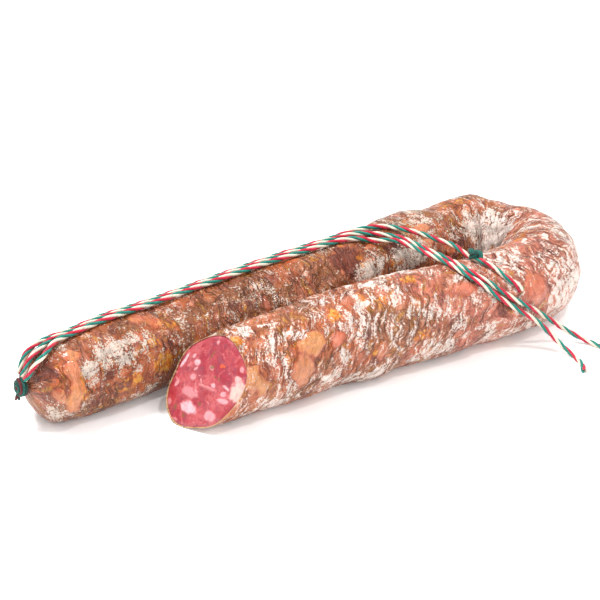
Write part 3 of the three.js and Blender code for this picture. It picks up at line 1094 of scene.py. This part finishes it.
@dataclass
class Casing:
    """The sausage but for the meat of its cut: skin, nipple, rim and a recess behind the cut."""

    skin: Skin
    bloom: Bloom = Bloom()
    sides: int = 144
    step: float = 0.8
    fine_steps: int = 4000
    before_cut: float = 44.0
    cut_rings: int = 58
    cut_calm: float = 4.0
    rim: float = 0.36
    rim_even: float = 0.72
    rim_uneven: float = 0.4
    rim_clock: float = 235.0
    rim_edge: Pair = (0.5, 0.1)
    recess: float = 1.8
    relief_seed: int = 5
    cockles: Lumps = Lumps(0.42, 8.0)
    pimples: Lumps = Lumps(0.2, 2.8, shift=90.0)
    wrinkles: Lumps = Lumps(0.2, (1.9, 8.0, 9.0), shift=40.0)
    lobe: float = 0.7
    lobe_side: Pair = (0.3, 1.0)
    dip: float = 0.35
    gather: float = 0.35
    gather_length: float = 4.0
    gathers: int = 11
    tip: float = 0.7
    slant: float = 0.35
    slant_zone: Pair = (280.0, 320.0)
    streaky_zone: Pair = (195.0, 240.0)
    rosy_station: float = 285.0
    rosy_reach: float = 60.0
    pattern_seed: int = 23
    blur: Lumps = Lumps(0.5, 7.0)
    fray: Lumps = Lumps(0.2, 2.4, 1, 50.0)
    clouds: Lumps = Lumps(0.28, 16.0, shift=20.0)
    streaks: Lumps = Lumps(0.16, (2.6, 11.0, 9.0))
    fold_gaps: Lumps = Lumps(1.0, 4.5, shift=70.0)
    edge_gaps: Lumps = Lumps(1.0, 5.0, 1, -30.0)
    even_pink: float = 0.5
    scatter_seed: int = 77
    scatter_count: int = 170
    scatter_ranges: tuple[Pair, ...] = (
        (20, 420),
        (0, 360),
        (1.8, 5.2),
        (6, 17),
        (0.35, 0.75),
        (0, 1),
    )

    def stations(self) -> Array:
        """Stations from the nipple to where the cut's slant is taken up, evenly over the skin.

        Returns:
            The stations, in order.
        """
        fine = np.linspace(self.tip, self.slant_start(), self.fine_steps)
        walked = walk(np.hypot(np.diff(fine), np.diff(self.skin.bare(fine))))
        count = round(walked[-1] / self.step)
        return np.interp(np.linspace(0.0, walked[-1], count + 1), walked, fine)

    def clocks(self) -> Array:
        """The clock angle of each line of points."""
        return np.arange(self.sides) * 360.0 / self.sides

    def slant_start(self) -> float:
        """The station from which the rings lean over to the cut."""
        return float(self.skin.cut_stations(self.clocks()).mean() - self.before_cut)

    def rim_width(self) -> Array:
        """The rim's width at each clock angle: widest on the side that faces down and inward."""
        turned = np.cos(np.radians(self.clocks() - self.rim_clock))
        return self.rim * (self.rim_even + self.rim_uneven * turned)

    def fine_relief(self, station: Array, clock: Array, cover: dict[str, Array]) -> Array:
        """The casing's finer relief.

        Args:
            station: each point's station.
            clock: each point's clock angle.
            cover: the patches at each point.

        Returns:
            The height of its cockles, pimples, wrinkles, lobes of fat and gathers.
        """
        straight = self.straight(station, clock)
        grain = Grain(self.relief_seed)
        height = self.cockles.over(grain, straight) + self.pimples.over(grain, straight)
        height += self.wrinkles.over(grain, self.sheet(station, clock))
        height += self.lobe * smooth(*self.lobe_side, cover["fat"]) - self.dip * cover["lean"]
        past = np.maximum(0.0, station - self.skin.nipple_length) / self.gather_length
        return height + self.gather * mound(past) * np.cos(np.radians(clock) * self.gathers)

    def sheet(self, station: Array, clock: Array) -> Array:
        """The skin's points laid flat: along, and round from the top with a slant on the cut leg.

        Args:
            station: each point's station.
            clock: each point's clock angle.

        Returns:
            The points, with x, y and z last.
        """
        around = np.radians(clock_gap(clock, 90.0)) * self.skin.axis_at(station)[1]
        slant = self.slant * smooth(*self.slant_zone, station)
        return np.stack([station + slant * around, around, np.zeros(len(station))], -1)

    def straight(self, station: Array, clock: Array) -> Array:
        """The skin's points as if the sausage were straight, along x.

        Args:
            station: each point's station.
            clock: each point's clock angle.

        Returns:
            The points, with x, y and z last.
        """
        angle = np.radians(clock)
        radius = self.skin.bare(station)
        return np.stack([station, radius * np.cos(angle), radius * np.sin(angle)], -1)

    def patches(self, station: Array, clock: Array, straight: Array) -> dict[str, Array]:
        """How much fat, amber fat, lean and mould there is at each point.

        Args:
            station: each point's station.
            clock: each point's clock angle.
            straight: each point on the sausage laid straight.

        Returns:
            One array for each attribute.
        """
        grain = Grain(self.pattern_seed)
        wobble = self.blur.over(grain, straight) + self.fray.over(grain, straight)
        cover = {tissue: np.zeros(len(station)) for tissue in Tissue}
        pink = np.full(len(station), self.even_pink)
        for patch in (*PATCHES, *self.scattered()):
            inside = patch.cover(station, clock, wobble)
            cover[patch.tissue] = np.maximum(cover[patch.tissue], inside)
            if patch.tissue is FAT:
                pink = pink + (patch.pink - pink) * np.clip(inside, 0.0, 1.0)
        bloom = self.bloom
        streaky = smooth(*self.streaky_zone, station)
        bend = mound((station - bloom.bend_station) / bloom.bend_reach)
        ridges = sum(
            np.maximum(0.0, self.skin.fold_height(fold, station, clock)) / fold.height
            for fold in FOLDS
        )
        crests = ridges**2 * smooth(*bloom.fold_gap, self.fold_gaps.over(grain, straight))
        edges = mound((cover[FAT] - bloom.edge_at) / bloom.edge_reach)
        edges = edges * smooth(*bloom.edge_gap, self.edge_gaps.over(grain, straight))
        mould = bloom.everywhere + self.clouds.over(grain, straight)
        mould += bloom.bend * bend + bloom.cut_leg * streaky
        mould += bloom.patch * cover[MOULD] - bloom.bare * cover[BARE] + bloom.fold * crests
        mould += self.streaks.over(grain, self.sheet(station, clock)) * streaky
        mould += bloom.fat_edge * edges - bloom.fat * np.maximum(cover[AMBER], cover[FAT])
        rosy = mound((station - self.rosy_station) / self.rosy_reach)
        shown = {tissue.value: cover[tissue] for tissue in (FAT, AMBER, LEAN)}
        return {**shown, "pink": pink, "mould": mould, "streaky": streaky, "rosy": rosy}

    def scattered(self) -> list[Patch]:
        """Small patches of fat, amber fat, lean and mould all over the skin, drawn from a seed.

        Returns:
            The patches.
        """
        drawer = Drawer(self.scatter_seed)
        kinds = (FAT, LEAN, AMBER, FAT, LEAN, MOULD)
        return [
            Patch(*drawer.row(self.scatter_ranges), tissue=kinds[i % len(kinds)])
            for i in range(self.scatter_count)
        ]

    def build(self, material: Material) -> Piece:
        """Builds the casing.

        Args:
            material: its finish.

        Returns:
            The piece.
        """
        clocks, ends = self.clocks(), self.skin.cut_stations(self.clocks())
        start = self.slant_start()
        share = np.linspace(0.0, 1.0, self.cut_rings + 1)[1:, None]
        level = np.repeat(self.stations()[:, None], self.sides, axis=1)
        station = np.vstack([level, start + (ends - start) * share])
        clock = np.broadcast_to(clocks, station.shape)
        all_stations = np.concatenate([station.ravel(), np.tile(ends, 2), [self.tip, ends.mean()]])
        all_clocks = np.concatenate([clock.ravel(), np.tile(clocks, 2), [0.0, 0.0]])
        straight = self.straight(all_stations, all_clocks)
        attributes = self.patches(all_stations, all_clocks, straight)
        relief = self.fine_relief(all_stations, all_clocks, attributes)[: station.size]
        to_cut = ends - station
        calm = smooth(0.0, self.cut_calm, to_cut)
        skin = self.skin.on(station, clock, extra=relief.reshape(station.shape) * calm)
        middle = skin[-1].mean(0)
        inner = skin[-1] + unit(middle - skin[-1]) * self.rim_width()[:, None]
        recess = self.skin.cut_inward * self.recess
        tip = self.skin.around(np.array([self.tip]), np.array([0.0]), np.array([0.0]))
        rings = np.concatenate([skin, inner[None], (inner + recess)[None]])
        points = np.vstack([rings.reshape(-1, 3), tip, (middle + recess)[None]])
        attributes["straight"] = straight
        attributes["sheet"] = self.sheet(all_stations, all_clocks)
        painted = smooth(*self.rim_edge, to_cut) * (self.rim_width() / self.rim)
        behind = np.ones(2 * self.sides)
        attributes["rim"] = np.concatenate([painted.ravel(), behind, [0.0, 1.0]])
        edge = (len(skin) - 1) * self.sides
        sharp = {
            tuple(sorted((ring + j, ring + (j + 1) % self.sides)))
            for ring in (edge, edge + self.sides)
            for j in range(self.sides)
        }
        faces = tube_faces(len(rings), self.sides)
        return Draft(points, faces, attributes, sharp=sharp).build("casing_skin", [material])


class Bit(Enum):
    """What a piece in the cut is, named after the attribute that it raises."""

    FAT = "fat"
    DEEP = "deep"
    FLECK = "fleck"
    SPICE = "spice"
    PALE = "pale"


@dataclass(frozen=True)
class Chunk:
    """A piece in the cut: its middle across and up the cut, its half-sizes, turn and warmth."""

    bit: Bit
    across: float
    up: float
    wide: float
    tall: float
    turn: float = 0.0
    warm: float = 0.2
    cream: float = 0.0
    edge: Pair = (1.4, 0.6)

    def cover(self, across: Array, up: Array, wobble: Array) -> Array:
        """How far each point of the cut is inside the piece, from 0 to 1.

        Args:
            across: each point's place across the cut.
            up: its place up the cut.
            wobble: noise that makes the edge uneven.

        Returns:
            One value for each point.
        """
        turn = np.radians(self.turn)
        a, b = across - self.across, up - self.up
        x = (a * np.cos(turn) + b * np.sin(turn)) / self.wide
        y = (b * np.cos(turn) - a * np.sin(turn)) / self.tall
        return smooth(*self.edge, np.hypot(x, y) + wobble)


CHUNKS = tuple(
    Chunk(bit, *row)
    for bit, rows in {
        Bit.FAT: (
            (-3.6, -11.0, 4.0, 2.2, -8, 0.05), (16.2, 1.6, 3.8, 4.6, -20, 0.1, 0.9),
            (13.9, 6.0, 1.9, 1.1, 0, 0.5, 0.5), (-6.3, 6.2, 1.5, 1.3, 0, 0.2),
            (-6.0, 0.6, 1.5, 1.2, 10, 0.6), (-5.2, -5.4, 3.6, 2.0, -10, 0.7),
            (4.2, 0.1, 1.1, 0.8, 0, 0.3), (10.3, 1.1, 1.9, 0.7, -15, 0.1),
            (9.6, -1.5, 1.5, 1.0, 0, 0.4), (10.8, -3.9, 2.8, 1.0, 10, 0.4),
            (6.9, -10.9, 2.8, 2.0, 0, 0.5), (-12.1, 5.0, 0.7, 3.4, -16, 0.1),
            (1.8, -1.4, 4.6, 0.5, 0, 0.9), (-3.4, -3.2, 0.5, 2.2, 20, 0.9),
        ),
        Bit.DEEP: (
            (13.6, 9.7, 1.7, 4.4, 14), (-13.2, -9.0, 2.2, 5.6, 8), (12.9, -7.4, 4.4, 2.6, 40),
            (3.4, -4.2, 3.4, 1.8, 0),
        ),
        Bit.FLECK: (
            (-0.7, 10.8, 0.35, 1.7, -14), (1.0, 6.6, 0.9, 0.7, 0), (0.7, -8.2, 0.7, 0.6, 0),
            (-9.5, -12.6, 0.6, 1.2, 0), (-4.7, -14.4, 0.7, 0.9, 30), (3.6, 3.5, 0.5, 0.4, 0),
            (5.9, 3.2, 0.6, 0.35, -30),
        ),
        Bit.SPICE: (
            (5.0, 8.2, 0.8, 0.7, 8), (6.3, 8.4, 0.6, 0.5, 8),
        ),
        Bit.PALE: (
            (-6.4, -3.2, 5.0, 5.4), (8.0, -4.0, 5.6, 5.0), (4.4, -12.6, 8.0, 3.4),
            (-8.6, 8.0, 2.6, 4.4), (1.6, 0.8, 4.0, 3.0),
        ),
    }.items()
    for row in rows
)


@dataclass
class CutMeat:
    """The meat that shows at the cut: a disc with an uneven face, set inside the casing's rim."""

    skin: Skin
    casing: Casing
    rings: int = 78
    depth: float = 1.4
    overlap: float = 0.1
    proud: float = 0.1
    fat_rise: float = 0.12
    rim_fall: float = 0.45
    rim_zone: Pair = (0.9, 1.0)
    face_seed: int = 9
    uneven: Lumps = Lumps(0.16, 3.2, 3)
    pattern_seed: int = 31
    blur: Lumps = Lumps(0.32, 2.6)
    even_warm: float = 0.5
    crumb_seed: int = 19
    crumb_count: int = 36
    crumb_ranges: tuple[Pair, ...] = (
        (-16, 16),
        (-17, 17),
        (0, 1),
        (0.25, 0.75),
        (0, 180),
        (0.4, 1),
    )
    crumb_wide: Pair = (0.4, 1.5)

    def build(self, material: Material) -> Piece:
        """Builds the meat's face.

        Args:
            material: its finish.

        Returns:
            The piece.
        """
        clocks = self.casing.clocks()
        sides = len(clocks)
        outer = self.skin.on(self.skin.cut_stations(clocks), clocks)
        middle = outer.mean(0)
        reach = np.linalg.norm(outer - middle, axis=1, keepdims=True)
        inset = self.casing.rim_width()[:, None] - self.overlap
        rim = middle + (outer - middle) * (1.0 - inset / reach)
        share = np.linspace(1.0, 0.0, self.rings + 1)[:-1, None, None]
        face = (middle + (rim - middle) * share).reshape(-1, 3)
        across = (face - self.skin.cut_point) @ self.skin.cut_across
        up = (face - self.skin.cut_point) @ self.skin.cut_up
        flat = np.stack([across, up, np.zeros(len(face))], -1)
        attributes = self.pieces(flat)
        height = self.proud + self.uneven.over(Grain(self.face_seed), flat)
        height += self.fat_rise * attributes["fat"]
        height -= self.rim_fall * np.repeat(smooth(*self.rim_zone, share[:, 0, 0]), sides)
        face = face + height[:, None] * self.skin.cut_normal
        back = rim + self.skin.cut_inward * self.depth
        points = np.vstack([back, face, back.mean(0)[None], face[-sides:].mean(0)[None]])
        for key, values in attributes.items():
            none = np.zeros((sides + 1, *values.shape[1:]))
            attributes[key] = np.concatenate([none[1:], values, none[:1], values[-1:]])
        faces = tube_faces(self.rings + 1, sides)
        return Draft(points, faces, attributes).build("cut_face", [material])

    def pieces(self, flat: Array) -> dict[str, Array]:
        """How much fat, deep red, spice and fleck there is at each point of the cut.

        Args:
            flat: each point across and up the cut.

        Returns:
            One array for each attribute.
        """
        wobble = self.blur.over(Grain(self.pattern_seed), flat)
        cover = {bit.value: np.zeros(len(flat)) for bit in Bit}
        warm, cream = np.full(len(flat), self.even_warm), np.zeros(len(flat))
        for chunk in (*CHUNKS, *self.crumbs()):
            inside = chunk.cover(flat[:, 0], flat[:, 1], wobble)
            cover[chunk.bit.value] = np.maximum(cover[chunk.bit.value], inside)
            if chunk.bit is Bit.FAT:
                warm = warm + (chunk.warm - warm) * inside
                cream = cream + (chunk.cream - cream) * inside
        return {**cover, "warm": warm, "cream": cream, "face": flat}

    def crumbs(self) -> list[Chunk]:
        """Small crumbs of fat all over the cut, drawn from a seed. Most of them are narrow.

        Returns:
            The crumbs.
        """
        drawer = Drawer(self.crumb_seed)
        least, most = self.crumb_wide
        made = []
        for _ in range(self.crumb_count):
            across, up, size, slimness, turn, warm = drawer.row(self.crumb_ranges)
            wide = least + (most - least) * size**2
            made.append(Chunk(Bit.FAT, across, up, wide, wide * slimness, turn, warm))
        return made


@dataclass
class Twine:
    """A length of three-ply twine along a route."""

    route: Array
    radius: float = 1.0
    ply_radius: float = 0.56
    ply_offset: float = 0.5
    pitch: float = 13.5
    sides: int = 10
    step: float = 0.45
    phase: float = 0.0
    splay: float = 0.0
    splay_length: float = 5.0
    taper: float = 0.35
    taper_length: float = 0.5
    fibre_pitch: float = 3.4
    fibre_stretch: float = 0.14
    fibre_shift: float = 7.0
    fine_steps: int = 40
    fewest_steps: int = 8
    upright: float = 0.2

    def centreline(self) -> tuple[Array, Array]:
        """The twine's middle line.

        Returns:
            Evenly spaced points along it, and how far along each one is.
        """
        fine = spline(self.route, self.fine_steps)
        walked = walk(np.linalg.norm(np.diff(fine, axis=0), axis=1))
        count = max(self.fewest_steps, round(walked[-1] / self.step))
        along = np.linspace(0.0, walked[-1], count + 1)
        return np.stack([np.interp(along, walked, fine[:, k]) for k in range(3)], -1), along

    def frames(self, line: Array) -> tuple[Array, Array]:
        """Two directions across a line at each point, turning with it as little as they can.

        Args:
            line: the line's points.

        Returns:
            The directions, at right angles to the line and each other.
        """
        tangent = unit(np.gradient(line, axis=0))
        side = np.cross(tangent[0], [0.0, 0.0, 1.0])
        if np.linalg.norm(side) < self.upright:
            side = np.cross(tangent[0], [0.0, 1.0, 0.0])
        sides = []
        for t in tangent:
            side = unit(side - t * (side @ t))
            sides.append(side)
        across = np.array(sides)
        return across, np.cross(tangent, across)

    def draft(self) -> Draft:
        """The three plies as closed tubes wound round the middle line.

        Returns:
            The mesh, not yet built.
        """
        line, along = self.centreline()
        across, up = self.frames(line)
        end = along[-1]
        offset = self.ply_offset * (1.0 + self.splay * smooth(end - self.splay_length, end, along))
        ends = np.minimum(along, end - along) / self.taper_length
        radius = self.ply_radius * np.minimum(1.0, self.taper + ends)
        angles = np.arange(self.sides) * 2 * np.pi / self.sides
        twist = angles[None] + 2 * np.pi * along[:, None] / self.fibre_pitch
        points, faces, fibres = [], [], []
        for k in range(len(Ply)):
            turn = 2 * np.pi * (along / self.pitch + k / len(Ply)) + self.phase
            out = np.cos(turn)[:, None] * across + np.sin(turn)[:, None] * up
            ply = line + out * offset[:, None]
            ply[:, 2] = np.maximum(ply[:, 2], self.ply_radius)
            side, rise = self.frames(ply)
            ring = np.cos(angles)[:, None] * side[:, None] + np.sin(angles)[:, None] * rise[:, None]
            tube = ply[:, None] + ring * radius[:, None, None]
            faces += tube_faces(len(line), self.sides, sum(map(len, points)))
            points += [tube.reshape(-1, 3), ply[:1], ply[-1:]]
            shift = along[:, None] * self.fibre_stretch + self.fibre_shift * k
            fibre = np.stack(np.broadcast_arrays(shift, np.cos(twist), np.sin(twist)), -1)
            fibres += [fibre.reshape(-1, 3) * self.ply_radius, np.zeros((2, 3))]
        slots = np.repeat(np.arange(len(Ply)), len(faces) // len(Ply))
        return Draft(np.vstack(points), faces, {"fibre": np.vstack(fibres)}, slots)

    def build(self, name: str, materials: Sequence[Material]) -> Piece:
        """Builds the twine's piece, its plies finished in the order of the materials."""
        return self.draft().build(name, materials)


@dataclass
class Strands:
    """The three strands. The back one runs on through its knot to a free end."""

    skin: Skin
    radius: float = 1.0
    gap: float = 0.5
    dome_gap: float = 0.95
    tie_stations: tuple[float, ...] = (1.9, 2.75, 3.65, 4.75, 6.2)
    tie_distances: tuple[float, ...] = (5.3, 6.45, 8.1)
    dome_stations: tuple[float, ...] = (8.4, 12, 18)

    def near_tie(self, clocks: Sequence[float], distances: Sequence[float]) -> Array:
        """Points of a strand where it leaves the tie, by clock angle and last distances."""
        distance = np.array([*self.tie_distances, *distances])
        return self.skin.around(np.array(self.tie_stations), np.array(clocks), distance)

    def on_dome(self, *clocks: float) -> Array:
        """Points of a strand that lies on the dome, by clock angle."""
        station = np.array(self.dome_stations)
        return self.skin.on(station, np.array(clocks), self.radius + self.dome_gap)

    def on(self, *places: Pair) -> Array:
        """Points of a strand that lies on the skin, by station and clock angle."""
        station, clock = np.array(places, float).T
        return self.skin.on(station, clock, self.radius + self.gap)

    def routes(self) -> dict[str, Array]:
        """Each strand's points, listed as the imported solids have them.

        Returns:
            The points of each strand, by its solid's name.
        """
        back = (
            self.near_tie((77, 76.6, 76.3, 76, 75.8), (10.2, 12)),
            self.on_dome(75.5, 74, 69),
            self.on((26, 66), (42, 65), (62, 65), (86, 65), (110, 66), (132, 69), (150, 74)),
            self.on((160, 78), (168, 86), (173.5, 98)),
            ((54.6, 10.2, 36.9), (57.8, 4.2, 36.4), (59.7, -2.3, 36.2), (61.2, -9.8, 36.4)),
            self.on((302.3, 105), (301, 81), (299, 68), (297, 51), (294.5, 38), (293, 28)),
        )
        middle = (
            self.near_tie((103, 101.2, 99.6, 97.8, 96.2), (10.3, 12.1)),
            self.on_dome(94, 89, 79),
            self.on((26, 75), (42, 74), (62, 73.5), (86, 73.5), (110, 74.5), (132, 78)),
            self.on((148, 81.5), (157, 86), (162.5, 93.5), (166.5, 102)),
            ((47.8, 8.0, 36.6), (49.5, 2.4, 36.1), (50.4, -3.2, 35.9), (50.9, -10.0, 36.2)),
            self.on((311.4, 102), (310.8, 80), (308.6, 65), (304.6, 50), (300.6, 35)),
            self.on((296.8, 22), (291.6, 8)),
            ((82.4, -45.0, 12.2), (89.4, -47.0, 6.2), (94.4, -50.2, 2.6)),
            ((97.2, -55.0, 1.2), (98.4, -60.2, 1.02), (98.9, -65.6, 1.02)),
        )
        front = (
            self.near_tie((129, 125.6, 122.4, 118.8, 115.4), (10.5, 12.4)),
            self.on_dome(111.5, 103, 89),
            self.on((26, 83.5), (42, 82.5), (62, 82), (86, 82), (110, 83), (130, 87)),
            self.on((144, 90), (153, 94.5), (158.5, 101.5), (162.5, 110)),
            ((45.0, 7.2, 36.4), (46.9, 1.8, 36.0), (47.9, -3.6, 35.8), (48.3, -10.0, 36.1)),
            self.on((314.2, 103), (313.6, 80), (311.6, 64), (307.6, 49), (303.8, 34)),
            self.on((300.0, 21), (296.0, 9)),
            ((75.6, -45.8, 13.4), (80.4, -49.2, 7.4), (83.4, -53.8, 2.8)),
            ((84.2, -59.0, 1.15), (82.8, -64.8, 1.02), (79.6, -71.0, 1.02)),
        )
        groups = {"twine_back": back, "twine_middle": middle, "twine_front": front}
        return {name: np.vstack(parts) for name, parts in groups.items()}


@dataclass
class EndTie:
    """The turns of twine drawn tight round the nipple."""

    skin: Skin
    start: float = 0.5
    end: float = 3.0
    distance: float = 2.75
    turns: float = 3.7
    first_clock: float = 20.0
    crowding: float = 1.3
    opening: Pair = (-0.12, 0.5)
    points: int = 60
    loose: tuple[Place, ...] = (
        (2.0, 285.0, 3.6),
        (1.4, 290.0, 4.8),
        (1.0, 286.0, 6.2),
    )

    def route(self) -> Array:
        """The points of the turns: a spiral over the nipple's tip, then round it to a loose end.

        Returns:
            The points, from the tip to the loose end.
        """
        share = np.linspace(0.0, 1.0, self.points)
        station = self.start + (self.end - self.start) * share**self.crowding
        clock = self.first_clock + 360.0 * self.turns * share
        distance = self.distance * smooth(*self.opening, share)
        turns = self.skin.around(station, clock, distance)
        return np.vstack([turns, self.skin.around(*np.array(self.loose).T)])


@dataclass
class StrandKnot:
    """The overhand knot in the back strand."""

    skin: Skin
    station: float = 301.5
    clock: float = 94.0
    lift: float = 2.5
    turn: float = -83.0
    long: float = 2.8
    wide: float = 1.55
    tall: float = 1.1
    points: int = 40
    first_angle: float = 0.4

    def route(self) -> Array:
        """The points of a closed trefoil, drawn out along the strand and pulled tight.

        Returns:
            The points, where the knot sits on the skin.
        """
        t = np.linspace(0.0, 2 * np.pi, self.points, endpoint=False) + self.first_angle
        x = (np.sin(t) + 2 * np.sin(2 * t)) / 3 * self.long
        y = (np.cos(t) - 2 * np.cos(2 * t)) / 3 * self.wide
        z = -np.sin(3 * t) * self.tall
        turn = np.radians(self.turn)
        middle = self.skin.on(np.array([self.station]), np.array([self.clock]), self.lift)[0]
        across = x * np.cos(turn) - y * np.sin(turn)
        forward = x * np.sin(turn) + y * np.cos(turn)
        return middle + np.stack([across, forward, z], -1)


@dataclass
class Studio:
    """The camera, the soft lights and the pale floor."""

    camera_at: Place = (-0.5021, -0.7154, 0.4710)
    looks_at: Place = (0.02385, 0.04483, 0.0)
    lens: float = 150.0
    sensor: float = 36.0
    lights: tuple[tuple[str, Place, float, float], ...] = (
        ("key", (-0.3, 0.3, 1.0), 0.35, 13.0),
        ("fill", (0.3, -1.0, 0.7), 0.9, 4.5),
        ("glint", (0.1, -0.5, 1.1), 0.08, 3.2),
    )
    sky: float = 0.9
    floor_size: float = 6.0
    floor_below: float = 0.0001
    floor_glow: float = 0.1
    white: str = "ffffff"

    @staticmethod
    def stand(name: str, data: Any, place: Sequence[float], aim: Sequence[float]) -> Any:
        """Stands a camera or a light somewhere, facing a point.

        Args:
            name: its name.
            data: the camera's or the light's data.
            place: where it stands, in metres.
            aim: the point that it faces.

        Returns:
            The new object, linked to the scene.
        """
        thing = bpy.data.objects.new(name, data)
        thing.location = place
        thing.rotation_mode = "QUATERNION"
        thing.rotation_quaternion = (Vector(aim) - Vector(place)).to_track_quat("-Z", "Y")
        bpy.context.scene.collection.objects.link(thing)
        return thing

    def camera(self) -> None:
        """Makes the camera, at the height and turn from which the sausage was seen."""
        data = bpy.data.cameras.new("camera")
        data.lens = self.lens
        data.sensor_width = self.sensor
        bpy.context.scene.camera = self.stand("camera", data, self.camera_at, self.looks_at)

    def build(self) -> None:
        """Makes the soft square lights, the world and the floor."""
        scene = bpy.context.scene
        scene.view_settings.view_transform = "Standard"
        for name, place, size, power in self.lights:
            data = bpy.data.lights.new(name, "AREA")
            data.size = size
            data.energy = power
            self.stand(name, data, place, (0.0, 0.0, 0.0))
        world = bpy.data.worlds.new("studio")
        world.use_nodes = True
        background = world.node_tree.nodes["Background"].inputs
        background["Color"].default_value = linear(self.white)
        background["Strength"].default_value = self.sky
        scene.world = world
        half = self.floor_size / 2 / MM
        corners = [(-half, -half), (half, -half), (half, half), (-half, half)]
        points = np.array([(*corner, -self.floor_below / MM) for corner in corners])
        paper = Board("floor").finish(
            Base_Color=self.white,
            Roughness=0.8,
            Emission_Color=self.white,
            Emission_Strength=self.floor_glow,
        )
        floor = Draft(points, [(0, 1, 2, 3)]).build("floor", [paper])


def dress(piece: Piece, slot: str, *nodes: str) -> Piece:
    """Makes a piece ride on the one body, hides the solids it stands for and logs their names.

    Args:
        piece: the piece.
        slot: not used.
        nodes: the solids' names.

    Returns:
        The piece.
    """
    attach(piece, BODY)
    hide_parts(*nodes)
    LOG.info("%s: %d faces, for %s", piece.name, len(piece.data.polygons), ", ".join(nodes))
    return piece


def main() -> None:
    """Builds the scene: camera, cords, tie, casing and cut."""
    logging.basicConfig(level=logging.INFO, format="%(name)s: %(message)s")
    studio = Studio()
    studio.camera()
    skin = Skin()
    plies = [TwineFinish(ply).material() for ply in Ply]
    # Darker copies of the green and red plies: painted shade on the tie's turns and on the knot.
    half_shade = TwineFinish(Ply.GREEN, "half_shade", 0.5).material()
    deep = TwineFinish(Ply.GREEN, "deep", 0.22).material()
    wine = TwineFinish(Ply.RED, "wine", 0.2).material()
    loops = Twine(StrandKnot(skin).route(), step=0.3, ply_radius=0.6)
    knot = dress(loops.build("knot", [half_shade, deep, half_shade]), "tie_twine", "strand_knot")
    turns = Twine(EndTie(skin).route(), step=0.3, ply_radius=0.5, splay=0.6, splay_length=2.0)
    dress(turns.build("tie", [wine, deep, half_shade]), "tie_twine", "end_tie")
    strands = Strands(skin)
    past_knot = {"twine_back": ["twine_tail"]}
    for number, (name, route) in enumerate(strands.routes().items()):
        twine = Twine(route, phase=1.9 * number, splay=0.9)
        piece = dress(twine.build(name + "_plies", plies), "twine", name, *past_knot.get(name, []))
        line, along = twine.centreline()
        2 * twine.radius * MM
    casing = Casing(skin)
    dress(casing.build(CasingFinish().material()), "casing", "sausage")
    dress(CutMeat(skin, casing).build(MeatFinish().material()), "cut_meat", "sausage")
    studio.build()


if __name__ == "__main__":
    main()
